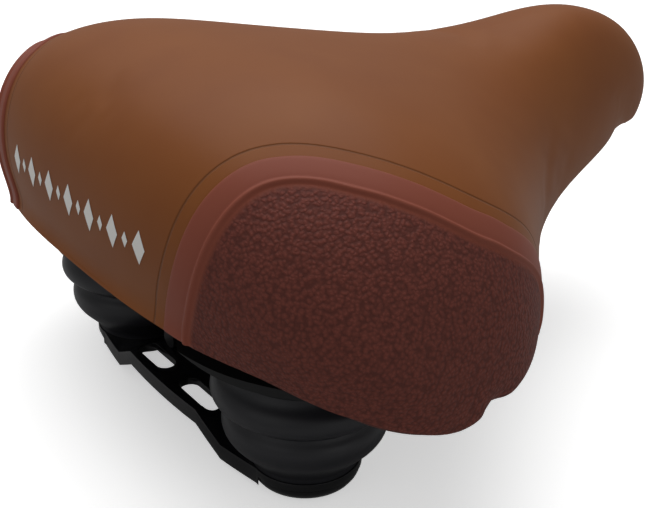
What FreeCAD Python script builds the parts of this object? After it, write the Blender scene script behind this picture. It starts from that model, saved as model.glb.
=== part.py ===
"""A wide sprung city saddle, built piece by piece.

Frame: millimetres, +Y towards the nose, +X to the rider's right, +Z up. The origin lies midway
between the two rails, on their axes, at the middle of the stretch that a seat post clamps.
The saddle is symmetric about the plane X = 0.
"""
import FreeCAD
import Part
import math
import os
from FreeCAD import Vector

# --- pad: overall size and place -------------------------------------------------------------
PAD_LENGTH = 260.0          # rear edge to nose tip
PAD_WIDTH = 231.0           # across the wings
PAD_HEIGHT = 78.0           # chord to crown, at the rear
RIM_HEIGHT = 33.5           # the pad's datum plane above the rails' axes
RIM_SHIFT = 5.0             # the pad's datum line forward of the clamp's middle

# --- skin, patches, base ---------------------------------------------------------------------
PATCH_T = 1.0               # textured corner patch
SKIN_T = 1.5                # smooth skin
BASE_T = 3.0                # base shell
HEM_T = 1.5                 # gap below the base that the turned-in skin fills
HEM_WIDTH = 12.0            # how far the skin turns in under the base
STIFFENER_T = 2.0
STIFFENER_DROP = 6.0
STIFFENER_X = 12.0
STIFFENER_PLACES = (-0.35, -0.085, 0.077, 0.223)      # shares of the pad's length

# --- rails -----------------------------------------------------------------------------------
RAIL_D = 7.0
RAIL_SPACING = 44.0         # axis to axis, in the clamp stretch
CLAMP_LENGTH = 70.0
RAIL_LOBE_GAP = 7.3         # rail to an elastomer's lower lobe, where the rails lie on the plate
RAIL_NOSE_SPACING = 32.0    # axis to axis, where the rails turn into the cross bar
NOSE_BAR_SETBACK = 48.0     # cross bar behind the nose tip
NOSE_BAR_DROP = 8.4         # cross bar below the base's underside
OFFSET_BEND_R = 20.0
RISE_BEND_R = 30.0
NOSE_BEND_R = 8.5

# --- elastomers, cups and bridge plate -------------------------------------------------------
ELASTOMER_X = 53.4
ELASTOMER_SETBACK = 49.5    # axis ahead of the pad's rear edge
FOOT_R = 17.3
LOWER_LOBE_R = 25.6
CREASE_R = 23.6
UPPER_LOBE_R = 28.6
COLLAR_R = 24.0
COLLAR_T = 2.5
BOSS_R = 38.0               # foot of the base's conical boss
BOSS_DROP = 3.5             # height of that cone
PLATE_T = 2.5
PLATE_FLANGE = 5.5          # height of the turned-down rear edge, plate thickness included
PLATE_STEP = 7.0            # the ears lie this far below the web
PLATE_STEP_RUN = 12.8       # length of the slope between them, along X
PLATE_REAR = 17.5           # rear edge behind the elastomers' axes, at the ears
PLATE_REAR_BULGE = 5.0
PLATE_FRONT = 15.0          # front edge ahead of the elastomers' axes
EAR_LIP = 0.5               # the plate's ears stand out past the cups
SLOT_LENGTH = 20.0
SLOT_WIDTH = 7.0
SLOT_X = 14.9
SLOT_REAR = 15.2            # behind the elastomers' axes
CUP_R = 17.3
CUP_T = 1.5
CUP_GAP = 0.3               # flange to cup
CUP_DEPTH = 4.5             # below the ear
CUP_RECESS_R = 10.0         # raised middle of the cup's floor

# --- fasteners -------------------------------------------------------------------------------
BOLT_R = 4.0
BOLT_HEAD_R = 6.5
BOLT_HEAD_T = 3.4
WASHER_R = 8.0
WASHER_T = 1.0
INSERT_R = 7.0
INSERT_LENGTH = 11.0
SCREW_R = 2.5
SCREW_HEAD_R = 4.5
SCREW_HEAD_T = 2.5
STAPLE_CROWN = 10.0
STAPLE_WIRE = 0.7
STAPLE_LEG = 3.6
WELD_LEG = 3.0
WELD_LENGTH = 14.0
WELD_SETBACK = 9.0          # middle of the weld ahead of the rails' rear ends

# --- nose socket -----------------------------------------------------------------------------
BLOCK_WIDTH = 15.0
BLOCK_LENGTH = 27.0
CAP_DEPTH = 7.0             # below the cross bar's axis
NOSE_SCREW_PITCH = 17.0
BEARING_CLEARANCE = 0.05    # radial, between the cross bar and its socket

# --- corner patch outline, seen square to the corner -----------------------------------------
PATCH_LEFT = -73.5          # along the corner's tangent, from the datum's middle
PATCH_TOP = 63.0            # above the datum plane
CORNER_ANGLE = 60.0         # direction that the outline is cut in, from the rear towards the side

REACH = 400.0               # longer than any piece
RAIL_R = RAIL_D / 2
PLATE_TOP = -RAIL_R
RAIL_REAR_X = ELASTOMER_X - LOWER_LOBE_R - RAIL_LOBE_GAP - RAIL_R
EAR_R = CUP_R + EAR_LIP
EAR_TOP = PLATE_TOP - PLATE_STEP
CUP_TOP = EAR_TOP - PLATE_T
CUP_BOTTOM = CUP_TOP - CUP_DEPTH
FOAM_INSET = PATCH_T + SKIN_T

# The pad's planar ribs, from the rear lower edge over the crown to the nose's lower edge. Each
# is half a superellipse that stands on a chord parallel to X. The values are shares of the
# pad's length (chord's place), height (chord's lift), half width and height, with the rib's
# lean from the horizontal rear in degrees and its squareness.
#         place   lift   lean  width  rise   squareness
RIBS = [(-0.242, -0.050, 17, 0.835, 0.744, 2.9),
        (-0.238, -0.085, 33, 0.970, 0.846, 2.9),
        (-0.225, -0.062, 55, 0.996, 1.058, 3.0),
        (-0.204, -0.036, 73, 1.000, 1.036, 3.0),
        (-0.133, 0.018, 84, 0.962, 0.912, 2.8),
        (-0.035, 0.055, 89, 0.780, 0.808, 2.5),
        (0.108, 0.105, 89, 0.502, 0.706, 2.4),
        (0.242, 0.152, 89, 0.346, 0.682, 2.4),
        (0.365, 0.195, 97, 0.240, 0.655, 2.4),
        (0.408, 0.216, 130, 0.190, 0.525, 2.4),
        (0.430, 0.226, 180, 0.158, 0.322, 2.3)]
ARC_STEPS = 16


# --- small helpers ---------------------------------------------------------------------------
def smooth_curve(points, closed=False):
    curve = Part.BSplineCurve()
    curve.interpolate(points, PeriodicFlag=closed)
    return curve.toShape()


def polygon_face(points):
    return Part.Face(Part.makePolygon(points + [points[0]]))


def box(x, y, z):
    """A box from three (low, high) pairs."""
    size = [high - low for low, high in (x, y, z)]
    return Part.makeBox(size[0], size[1], size[2], Vector(x[0], y[0], z[0]))


def cylinder(radius, x, y, low, high):
    return Part.makeCylinder(radius, high - low, Vector(x, y, low))


def mirrored(shape):
    return shape.mirror(Vector(0, 0, 0), Vector(1, 0, 0))


def revolved(edges, x, y):
    """Turn an outline in the XZ plane about Z, then carry it to (x, y)."""
    solid = Part.Face(Part.Wire(edges)).revolve(Vector(0, 0, 0), Vector(0, 0, 1), 360)
    solid.translate(Vector(x, y, 0))
    return solid


def group(shapes):
    return shapes[0] if len(shapes) == 1 else Part.makeCompound(shapes)


def both_sides(shape):
    return group([shape, mirrored(shape)])


# --- the pad's surface -----------------------------------------------------------------------
def rib_numbers(rib):
    place, lift, lean, width, rise, squareness = rib
    chord_y = place * PAD_LENGTH + RIM_SHIFT
    chord_z = lift * PAD_HEIGHT + RIM_HEIGHT
    return chord_y, chord_z, math.radians(lean), width * PAD_WIDTH / 2, rise * PAD_HEIGHT, squareness


def rear_edge_y():
    chord_y, _, lean, _, reach, _ = rib_numbers(RIBS[0])
    return chord_y - reach * math.cos(lean)


def nose_tip_y():
    chord_y, _, _, _, reach, _ = rib_numbers(RIBS[-1])
    return chord_y + reach


ELASTOMER_Y = rear_edge_y() + ELASTOMER_SETBACK
NOSE_BAR_Y = nose_tip_y() - NOSE_BAR_SETBACK
RAIL_REAR_Y = ELASTOMER_Y - WELD_SETBACK


def rib_points(rib, inset):
    """Points along one rib from the right edge over the crown to the left edge."""
    chord_y, chord_z, lean, half_width, height, squareness = rib_numbers(rib)
    points = []
    for step in range(ARC_STEPS + 1):
        turn = math.pi * step / ARC_STEPS
        across = math.copysign(abs(math.cos(turn)) ** (2 / squareness), math.cos(turn))
        out = 0.0 if step in (0, ARC_STEPS) else abs(math.sin(turn)) ** (2 / squareness)
        radius = (height - inset) * out
        points.append(Vector((half_width - inset) * across,
                             chord_y - radius * math.cos(lean), chord_z + radius * math.sin(lean)))
    return points


def pad_solid(inset):
    """The pad's whole volume, closed across the ribs' chords."""
    wires = []
    for rib in RIBS:
        points = rib_points(rib, inset)
        wires.append(Part.Wire([smooth_curve(points), Part.makeLine(points[-1], points[0])]))
    return Part.makeLoft(wires, True, False)


def pad_layer(outer_inset, inner_inset):
    """A layer of the pad between two insets, open along the lower edge."""
    wires = []
    for rib in RIBS:
        outer = rib_points(rib, outer_inset)
        inner = rib_points(rib, inner_inset)
        wires.append(Part.Wire([smooth_curve(outer), Part.makeLine(outer[-1], inner[-1]),
                                smooth_curve(inner[::-1]), Part.makeLine(inner[0], outer[0])]))
    return Part.makeLoft(wires, True, False)


def underside_curve(lift):
    """Side view of the base's underside, raised by lift: (y, z) points from rear to nose."""
    rear_y, rear_z, lean, _, reach, _ = rib_numbers(RIBS[0])
    nose_y, nose_z, _, _, nose_reach, _ = rib_numbers(RIBS[-1])
    points = [(rear_y - reach * share, rear_z + reach * share * math.tan(lean)) for share in (1.2, 0.6)]
    points += [rib_numbers(rib)[:2] for rib in RIBS[2:-1]]
    points += [(nose_y + nose_reach, nose_z), (nose_y + 2 * nose_reach, nose_z)]
    return [Vector(0, y, z + HEM_T + lift) for y, z in points]


def above_underside(lift, height=REACH):
    """Everything above the base's underside raised by lift, up to a height over it."""
    low = underside_curve(lift)
    high = [point + Vector(0, 0, height) for point in low]
    outline = Part.Wire([smooth_curve(low), Part.makeLine(low[-1], high[-1]),
                         smooth_curve(high[::-1]), Part.makeLine(high[0], low[0])])
    slab = Part.Face(outline).extrude(Vector(REACH, 0, 0))
    slab.translate(Vector(-REACH / 2, 0, 0))
    return slab


def plan_prism(inset):
    """A vertical column with the outline of the pad's lower edge, brought in by inset."""
    chord_y, _, lean, half_width, reach, squareness = rib_numbers(RIBS[0])
    right = []
    for degrees in (90, 70, 52, 36):
        turn = math.radians(degrees)
        across = math.cos(turn) ** (2 / squareness) if degrees < 90 else 0.0
        back = (reach - inset) * math.sin(turn) ** (2 / squareness) * math.cos(lean)
        right.append(Vector((half_width - inset) * across, chord_y - back, 0))
    for rib in RIBS[2:-1]:
        y, _, _, width, _, _ = rib_numbers(rib)
        right.append(Vector(width - inset, y, 0))
    nose_y, _, _, _, nose_reach, _ = rib_numbers(RIBS[-1])
    right.append(Vector(0, nose_y + nose_reach - inset, 0))
    left = [Vector(-point.x, point.y, 0) for point in right[-2:0:-1]]
    outline = smooth_curve(right + left, closed=True)
    outline.translate(Vector(0, 0, -REACH / 2))
    return Part.Face(Part.Wire(outline)).extrude(Vector(0, 0, REACH))


# --- base, skin, patches, foam ---------------------------------------------------------------
def underside_z(y):
    """Height of the base's underside at y."""
    curve = Part.BSplineCurve()
    curve.interpolate(underside_curve(0.0))
    line = Part.Line(Vector(0, y, 0), Vector(0, y, 1))
    return curve.toShape().Curve.intersectCC(line)[0].Z


NOSE_BAR_Z = underside_z(NOSE_BAR_Y) - NOSE_BAR_DROP


def boss_bottom():
    return underside_z(ELASTOMER_Y) - BOSS_DROP


def stiffeners():
    """Thin ribs under the base, kept inside the hem and off the elastomers' bosses."""
    half = STIFFENER_T / 2
    high = (0, REACH / 2)
    across = [place * PAD_LENGTH for place in STIFFENER_PLACES]
    lines = [box((side * STIFFENER_X - half, side * STIFFENER_X + half),
                 (across[0], NOSE_BAR_Y - BLOCK_LENGTH / 2 - 4), high) for side in (-1, 1)]
    lines += [box((-REACH / 2, REACH / 2), (y - half, y + half), high) for y in across]
    web = lines[0].multiFuse(lines[1:])
    web = web.common(plan_prism(HEM_WIDTH + 6)).common(above_underside(-STIFFENER_DROP, STIFFENER_DROP + 1))
    for side in (-1, 1):
        web = web.cut(cylinder(UPPER_LOBE_R + 2, side * ELASTOMER_X, ELASTOMER_Y, 0, REACH))
    return web


def base_shell(interior):
    slab = interior.common(above_underside(0.0, BASE_T))
    low, height = boss_bottom(), BOSS_DROP + BASE_T / 2
    bosses = [Part.makeCone(COLLAR_R, BOSS_R, height, Vector(side * ELASTOMER_X, ELASTOMER_Y, low))
              .common(plan_prism(HEM_WIDTH + 1)) for side in (-1, 1)]
    base = slab.multiFuse(bosses + [stiffeners()])
    for side in (-1, 1):
        x = side * ELASTOMER_X
        base = base.cut(cylinder(BOLT_R, x, ELASTOMER_Y, 0, REACH))
        base = base.cut(cylinder(BOLT_HEAD_R, x, ELASTOMER_Y, upper_head_low(), REACH))
    for y in nose_screw_ys():
        base = base.cut(cylinder(SCREW_R, 0, y, 0, nose_screw_top(y)))
    return base


def cover(interior):
    """The smooth skin with its edge turned in under the base."""
    under = plan_prism(HEM_WIDTH).cut(above_underside(BASE_T / 2))
    return pad_solid(PATCH_T).cut(interior.common(above_underside(0.0))).cut(under)


def patch_outline():
    """The patch's border in its own plane: along the corner's tangent, and up from the datum."""
    left, top = PATCH_LEFT, PATCH_TOP
    return [(left, top - 103), (left, top - 58), (left + 1.5, top - 42), (left + 4, top - 29),
            (left + 8, top - 17.5), (left + 13.5, top - 9), (left + 21, top - 3), (left + 31, top),
            (left + 41, top), (left + 51, top - 1.8), (left + 61.5, top - 5), (left + 72.5, top - 10),
            (left + 82, top - 15.5), (left + 93, top - 23), (left + 101, top - 31), (left + 107, top - 42),
            (left + 110, top - 58), (left + 110, top - 103)]


def corner_patch():
    """The right textured patch: a thin layer over the skin, cut to its outline."""
    angle = math.radians(CORNER_ANGLE)
    tangent = Vector(math.cos(angle), math.sin(angle), 0)
    outward = Vector(math.sin(angle), -math.cos(angle), 0)
    points = [tangent * along + Vector(0, RIM_SHIFT, RIM_HEIGHT + up) for along, up in patch_outline()]
    edge = smooth_curve(points)
    prism = Part.Face(Part.Wire([edge, Part.makeLine(points[-1], points[0])])).extrude(outward * REACH)
    return pad_layer(0.0, PATCH_T).common(prism)


# --- screws through the base -----------------------------------------------------------------
def collar_bottom():
    return boss_bottom() - COLLAR_T


def upper_head_low():
    return underside_z(ELASTOMER_Y) + BASE_T / 2


def nose_screw_ys():
    return [NOSE_BAR_Y - NOSE_SCREW_PITCH / 2, NOSE_BAR_Y + NOSE_SCREW_PITCH / 2]


def nose_screw_top(y):
    return underside_z(y) + BASE_T - 0.5


def upper_screw():
    """Clamps the base's boss and the collar to the insert in the elastomer's top."""
    x, y = ELASTOMER_X, ELASTOMER_Y
    shank = cylinder(BOLT_R, x, y, collar_bottom() - INSERT_LENGTH + 2, upper_head_low())
    return shank.fuse(cylinder(BOLT_HEAD_R, x, y, upper_head_low(), upper_head_low() + SCREW_HEAD_T / 2))


# --- staples ---------------------------------------------------------------------------------
def staple_spots():
    """Middle, direction and side slope of each staple on the right half of the hem."""
    inset = HEM_WIDTH / 2 + 1
    chord_y, _, lean, half_width, reach, squareness = rib_numbers(RIBS[0])
    spots = []
    for degrees in (84, 70, 56):
        turn = math.radians(degrees)
        across = math.cos(turn) ** (2 / squareness)
        back = (reach - inset) * math.sin(turn) ** (2 / squareness) * math.cos(lean)
        spots.append(((half_width - inset) * across, chord_y - back, 90 - degrees))
    for rib, turned in zip(RIBS[2:9], (90, 95, 110, 120, 112, 103, 97)):
        y, _, _, width, _, _ = rib_numbers(rib)
        spots.append((width - inset, y, turned))
    return spots


def hem_staples():
    """Wire staples that pin the turned-in edge to the base: crowns under the hem, legs up."""
    staples = []
    half, wire = STAPLE_CROWN / 2, STAPLE_WIRE
    for x, y, turned in staple_spots():
        crown = box((-half, half), (-wire / 2, wire / 2), (-wire, 0))
        legs = [box((low, low + wire), (-wire / 2, wire / 2), (0, STAPLE_LEG))
                for low in (-half, half - wire)]
        staple = crown.multiFuse(legs).removeSplitter()
        staple.rotate(Vector(0, 0, 0), Vector(0, 0, 1), turned)
        slope = math.degrees(math.atan2(underside_z(y + 1) - underside_z(y - 1), 2))
        staple.rotate(Vector(0, 0, 0), Vector(1, 0, 0), slope)
        staple.translate(Vector(x, y, underside_z(y) - HEM_T))
        staples += [staple, mirrored(staple)]
    return staples


# --- rails and nose socket -------------------------------------------------------------------
def bent_wire(points, radii):
    """Straight runs joined by tangent arcs, one radius for each inner point."""
    edges, start = [], points[0]
    for before, corner, after, radius in zip(points, points[1:], points[2:], radii):
        back, ahead = (before - corner).normalize(), (after - corner).normalize()
        half_turn = (math.pi - back.getAngle(ahead)) / 2
        trim = radius * math.tan(half_turn)
        bisector = (back + ahead).normalize()
        middle = corner + bisector * (radius / math.cos(half_turn) - radius)
        entry, leave = corner + back * trim, corner + ahead * trim
        edges += [Part.makeLine(start, entry), Part.Arc(entry, middle, leave).toShape()]
        start = leave
    return Part.Wire(edges + [Part.makeLine(start, points[-1])])


def rails():
    """One rod: two runs, parallel along the clamp, that rise to a cross bar in the nose."""
    rear_side, side, nose_side = RAIL_REAR_X, RAIL_SPACING / 2, RAIL_NOSE_SPACING / 2
    rear, front = -CLAMP_LENGTH / 2, CLAMP_LENGTH / 2 + 0.4 * RISE_BEND_R
    right = [Vector(rear_side, RAIL_REAR_Y, 0), Vector(rear_side, RAIL_REAR_Y + 2 * WELD_SETBACK + 3, 0),
             Vector(side, rear - 4, 0), Vector(side, front, 0), Vector(nose_side, NOSE_BAR_Y, NOSE_BAR_Z)]
    left = [Vector(-point.x, point.y, point.z) for point in right[::-1]]
    radii = [OFFSET_BEND_R, OFFSET_BEND_R, RISE_BEND_R, NOSE_BEND_R]
    path = bent_wire(right + left, radii + radii[::-1])
    profile = Part.Wire(Part.makeCircle(RAIL_R, right[0], Vector(0, 1, 0)))
    return path.makePipeShell([profile], True, True)


def rail_welds(rod):
    """A fillet bead on each side of each rail, where it lies on the bridge plate."""
    beads = []
    middle = RAIL_REAR_Y + WELD_SETBACK
    along = (middle - WELD_LENGTH / 2, middle + WELD_LENGTH / 2)
    for rail_x in (-RAIL_REAR_X, RAIL_REAR_X):
        for side in (-1, 1):
            toe, root = rail_x + side * (RAIL_R + WELD_LEG / 2), rail_x + side * RAIL_R / 4
            face = polygon_face([Vector(root, along[0], PLATE_TOP), Vector(toe, along[0], PLATE_TOP),
                                 Vector(rail_x + side * RAIL_R, along[0], PLATE_TOP + WELD_LEG)])
            bead = face.extrude(Vector(0, along[1] - along[0], 0))
            beads += bead.cut(rod).Solids
    return beads


def nose_bar():
    """The cross bar's running space, as cut out of the socket's two halves."""
    radius = RAIL_R + BEARING_CLEARANCE
    return Part.makeCylinder(radius, REACH, Vector(-REACH / 2, NOSE_BAR_Y, NOSE_BAR_Z), Vector(1, 0, 0))


def socket_half(z_range):
    half_width, half_length = BLOCK_WIDTH / 2, BLOCK_LENGTH / 2
    block = box((-half_width, half_width), (NOSE_BAR_Y - half_length, NOSE_BAR_Y + half_length), z_range)
    upright = [edge for edge in block.Edges if abs(edge.tangentAt(edge.FirstParameter).z) > 0.9]
    block = block.makeFillet(BLOCK_WIDTH / 5, upright).cut(nose_bar())
    for y in nose_screw_ys():
        block = block.cut(cylinder(SCREW_R, 0, y, 0, REACH))
    return block


def nose_block():
    """The socket's upper half, under the base."""
    block = socket_half((NOSE_BAR_Z, NOSE_BAR_Z + REACH / 4))
    return block.cut(above_underside(0.0))


def nose_cap():
    return socket_half((NOSE_BAR_Z - CAP_DEPTH, NOSE_BAR_Z))


def nose_screws():
    screws = []
    for y in nose_screw_ys():
        seat = NOSE_BAR_Z - CAP_DEPTH
        head = cylinder(SCREW_HEAD_R, 0, y, seat - SCREW_HEAD_T, seat)
        screws.append(head.fuse(cylinder(SCREW_R, 0, y, seat, nose_screw_top(y))))
    return screws


# --- bridge plate, cups, elastomers ----------------------------------------------------------
def plate_plan():
    """The plate's outline as a tall column: two round ears and a web with a bowed rear edge."""
    half, rear, front = ELASTOMER_X, ELASTOMER_Y - PLATE_REAR, ELASTOMER_Y + PLATE_FRONT
    low = -REACH / 2
    rear_left, rear_right = Vector(-half, rear, low), Vector(half, rear, low)
    bow = Part.Arc(rear_left, Vector(0, rear - PLATE_REAR_BULGE, low), rear_right).toShape()
    front_right, front_left = Vector(half, front, low), Vector(-half, front, low)
    outline = Part.Wire([bow, Part.makeLine(rear_right, front_right),
                         Part.makeLine(front_right, front_left), Part.makeLine(front_left, rear_left)])
    web = Part.Face(outline).extrude(Vector(0, 0, REACH))
    ears = [cylinder(EAR_R, x, ELASTOMER_Y, low, -low) for x in (-half, half)]
    return web.multiFuse(ears).removeSplitter()


def pressed_section(depth):
    """The web's raised middle and the lower ears, depth thick, swept along Y."""
    step_out = ELASTOMER_X - EAR_R - 0.3
    step_in = step_out - PLATE_STEP_RUN
    right = [(step_in, PLATE_TOP), (step_out, EAR_TOP), (REACH / 2, EAR_TOP)]
    top = [(-x, z) for x, z in right[::-1]] + right
    points = [Vector(x, -REACH / 2, z) for x, z in top]
    points += [point - Vector(0, 0, depth) for point in points[::-1]]
    return polygon_face(points).extrude(Vector(0, REACH, 0))


def slot(x, y):
    """A stadium-shaped cutter, long along X."""
    radius, run = SLOT_WIDTH / 2, SLOT_LENGTH - SLOT_WIDTH
    ends = [cylinder(radius, x + side * run / 2, y, -REACH / 4, PLATE_TOP + 1) for side in (-1, 1)]
    middle = box((x - run / 2, x + run / 2), (y - radius, y + radius), (-REACH / 4, PLATE_TOP + 1))
    return middle.multiFuse(ends).removeSplitter()


def bridge_plate():
    """Pressed steel: a raised web with a turned-down rear edge and two slots, and two low ears."""
    plan = plate_plan()
    inside = plan.copy()
    inside.translate(Vector(0, PLATE_T, 0))
    rim = plan.cut(inside).common(box((-ELASTOMER_X, ELASTOMER_X), (-REACH, ELASTOMER_Y), (-REACH, REACH)))
    for x in (-ELASTOMER_X, ELASTOMER_X):
        rim = rim.cut(cylinder(CUP_R + CUP_GAP, x, ELASTOMER_Y, -REACH, CUP_TOP))
    plate = pressed_section(PLATE_T).common(plan).fuse(pressed_section(PLATE_FLANGE).common(rim))
    for side in (-1, 1):
        plate = plate.cut(slot(side * SLOT_X, ELASTOMER_Y - SLOT_REAR))
        plate = plate.cut(cylinder(BOLT_R, side * ELASTOMER_X, ELASTOMER_Y, -REACH, REACH))
    return plate.removeSplitter()


def elastomer_cup():
    """A pressed bowl under the plate's ear, its floor raised in the middle for the bolt."""
    floor_r, bend = CUP_RECESS_R, CUP_DEPTH / 2
    outline = [(BOLT_R, CUP_TOP), (floor_r + CUP_T, CUP_TOP), (floor_r + CUP_T, CUP_BOTTOM + CUP_T),
               (CUP_R - bend, CUP_BOTTOM + CUP_T), (CUP_R - CUP_T, CUP_TOP), (CUP_R, CUP_TOP),
               (CUP_R, CUP_TOP - bend), (CUP_R - bend, CUP_BOTTOM), (floor_r, CUP_BOTTOM),
               (floor_r, CUP_TOP - CUP_T), (BOLT_R, CUP_TOP - CUP_T)]
    points = [Vector(r, 0, z) for r, z in outline]
    return revolved(Part.makePolygon(points + [points[0]]).Edges, ELASTOMER_X, ELASTOMER_Y)


def elastomer():
    """A two-lobed rubber spring between the plate's ear and the collar."""
    top = collar_bottom()
    height = top - EAR_TOP
    foot, flare = Vector(FOOT_R, 0, EAR_TOP), Vector(LOWER_LOBE_R - 1, 0, EAR_TOP + 0.34 * height)
    crease, neck = Vector(CREASE_R, 0, EAR_TOP + 0.62 * height), Vector(COLLAR_R, 0, top)
    lower = Part.Arc(flare, Vector(LOWER_LOBE_R, 0, EAR_TOP + 0.45 * height), crease).toShape()
    upper = Part.Arc(crease, Vector(UPPER_LOBE_R, 0, EAR_TOP + 0.79 * height), neck).toShape()
    centre_low, centre_high = Vector(0, 0, EAR_TOP), Vector(0, 0, top)
    edges = Part.makePolygon([centre_low, foot, flare]).Edges + [lower, upper]
    edges += Part.makePolygon([neck, centre_high, centre_low]).Edges
    x, y = ELASTOMER_X, ELASTOMER_Y
    body = revolved(edges, x, y)
    body = body.cut(cylinder(INSERT_R, x, y, EAR_TOP, EAR_TOP + INSERT_LENGTH))
    return body.cut(cylinder(INSERT_R, x, y, top - INSERT_LENGTH, top))


def insert(low, high, bore_low, bore_high):
    """A threaded insert moulded into the rubber."""
    x, y = ELASTOMER_X, ELASTOMER_Y
    return cylinder(INSERT_R, x, y, low, high).cut(cylinder(BOLT_R, x, y, bore_low, bore_high))


def lower_insert():
    return insert(EAR_TOP, EAR_TOP + INSERT_LENGTH, EAR_TOP, EAR_TOP + INSERT_LENGTH - 2)


def upper_insert():
    top = collar_bottom()
    return insert(top - INSERT_LENGTH, top, top - INSERT_LENGTH + 2, top)


def seat_collar():
    x, y, low, high = ELASTOMER_X, ELASTOMER_Y, collar_bottom(), boss_bottom()
    ring = cylinder(COLLAR_R, x, y, low, high)
    return ring.cut(cylinder(BOLT_R, x, y, low, high))


def cup_washer():
    x, y, top = ELASTOMER_X, ELASTOMER_Y, CUP_TOP - CUP_T
    return cylinder(WASHER_R, x, y, top - WASHER_T, top).cut(cylinder(BOLT_R, x, y, -REACH, REACH))


def cup_bolt():
    x, y, seat = ELASTOMER_X, ELASTOMER_Y, CUP_TOP - CUP_T - WASHER_T
    turns = [math.radians(60 * k) for k in range(6)]
    corners = [Vector(x + BOLT_HEAD_R * math.cos(turn), y + BOLT_HEAD_R * math.sin(turn), seat - BOLT_HEAD_T)
               for turn in turns]
    head = polygon_face(corners).extrude(Vector(0, 0, BOLT_HEAD_T))
    return head.fuse(cylinder(BOLT_R, x, y, seat, EAR_TOP + INSERT_LENGTH - 2))


# --- the set of pieces -----------------------------------------------------------------------
def pieces():
    interior = pad_solid(FOAM_INSET)
    staples = group(hem_staples())
    patch, ring, spring, cup = corner_patch(), seat_collar(), elastomer(), elastomer_cup()
    screws, rod = both_sides(upper_screw()), rails()
    return {
        "cover": cover(interior).cut(staples),
        "corner_patch_right": patch,
        "corner_patch_left": mirrored(patch),
        "foam_pad": interior.common(above_underside(BASE_T)).cut(screws),
        "base_shell": base_shell(interior).cut(staples),
        "hem_staples": staples,
        "seat_collar_right": ring,
        "seat_collar_left": mirrored(ring),
        "upper_screws": screws,
        "upper_inserts": both_sides(upper_insert()),
        "elastomer_right": spring,
        "elastomer_left": mirrored(spring),
        "lower_inserts": both_sides(lower_insert()),
        "elastomer_cup_right": cup,
        "elastomer_cup_left": mirrored(cup),
        "cup_washers": both_sides(cup_washer()),
        "cup_bolts": both_sides(cup_bolt()),
        "bridge_plate": bridge_plate(),
        "rails": rod,
        "rail_welds": group(rail_welds(rod)),
        "nose_block": nose_block(),
        "nose_cap": nose_cap(),
        "nose_screws": group(nose_screws()),
    }


os.makedirs("parts", exist_ok=True)
for name, shape in pieces().items():
    shape.exportStep(os.path.join("parts", name + ".step"))
    print(name, "solids", len(shape.Solids), "valid", shape.isValid(), "volume %.0f" % shape.Volume)
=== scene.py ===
# %% [markdown]
# # A sprung city saddle
# The saddle's mechanics are already built as CAD: rails, bridge plate, springs, base and a plain
# pad. This lesson loads that frame and gives the saddle its looks. The CAD says where everything
# is: the new pieces are measured from the CAD nodes, and only the ornament has a place of its own.

# %% Load the frame
import bpy
import math
import numpy as np
from mathutils import Matrix, Vector, geometry
from mathutils.bvhtree import BVHTree
from mathutils.kdtree import KDTree


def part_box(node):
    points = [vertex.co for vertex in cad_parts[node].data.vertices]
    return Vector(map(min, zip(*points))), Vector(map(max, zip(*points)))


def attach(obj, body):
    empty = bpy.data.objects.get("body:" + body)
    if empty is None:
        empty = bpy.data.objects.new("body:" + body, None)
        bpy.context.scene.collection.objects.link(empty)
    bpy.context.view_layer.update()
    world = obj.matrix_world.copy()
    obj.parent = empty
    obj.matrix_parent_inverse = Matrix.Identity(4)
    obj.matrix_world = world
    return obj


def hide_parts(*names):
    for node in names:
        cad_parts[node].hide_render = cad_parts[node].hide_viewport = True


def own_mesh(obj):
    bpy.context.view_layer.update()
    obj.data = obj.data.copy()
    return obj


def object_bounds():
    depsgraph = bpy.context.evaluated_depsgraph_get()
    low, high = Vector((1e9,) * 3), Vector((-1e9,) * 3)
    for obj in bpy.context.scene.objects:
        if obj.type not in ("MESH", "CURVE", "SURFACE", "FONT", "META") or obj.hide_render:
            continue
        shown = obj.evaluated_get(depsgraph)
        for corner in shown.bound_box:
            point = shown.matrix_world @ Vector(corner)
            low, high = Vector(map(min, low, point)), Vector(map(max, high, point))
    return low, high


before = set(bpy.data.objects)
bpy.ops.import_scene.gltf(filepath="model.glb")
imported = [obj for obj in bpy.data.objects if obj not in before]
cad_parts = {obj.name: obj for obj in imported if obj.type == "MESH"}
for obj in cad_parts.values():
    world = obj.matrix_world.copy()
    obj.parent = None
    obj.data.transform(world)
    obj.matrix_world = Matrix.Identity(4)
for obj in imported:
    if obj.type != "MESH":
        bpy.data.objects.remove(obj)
cad_box = [list(corner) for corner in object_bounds()]
MM = 0.001
print("CAD box in mm:", [[round(v / MM, 1) for v in corner] for corner in cad_box])

# %% [markdown]
# ## Small tools
# Blender's operators act on whatever is selected, so a clean selection comes before each of them.
# Colours are written as the sRGB hex values that a colour picker shows, and shaders work in
# linear light, so one function turns the one into the other. Another adds a shader node.

# %% Tools for objects
SMOOTH_BELOW = math.radians(35)


def clear_selection():
    """Leave edit mode with nothing selected."""
    if bpy.context.object and bpy.context.object.mode != "OBJECT":
        bpy.ops.object.mode_set(mode="OBJECT")
    bpy.ops.object.select_all(action="DESELECT")


def pick(piece):
    """Make one object the selected and active one."""
    clear_selection()
    piece.select_set(True)
    bpy.context.view_layer.objects.active = piece


def apply_modifier(piece, kind, **settings):
    """Add one modifier, set it, and apply it."""
    pick(piece)
    modifier = piece.modifiers.new(kind.title(), kind)
    for name, value in settings.items():
        setattr(modifier, name, value)
    bpy.ops.object.modifier_apply(modifier=modifier.name)


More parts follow.
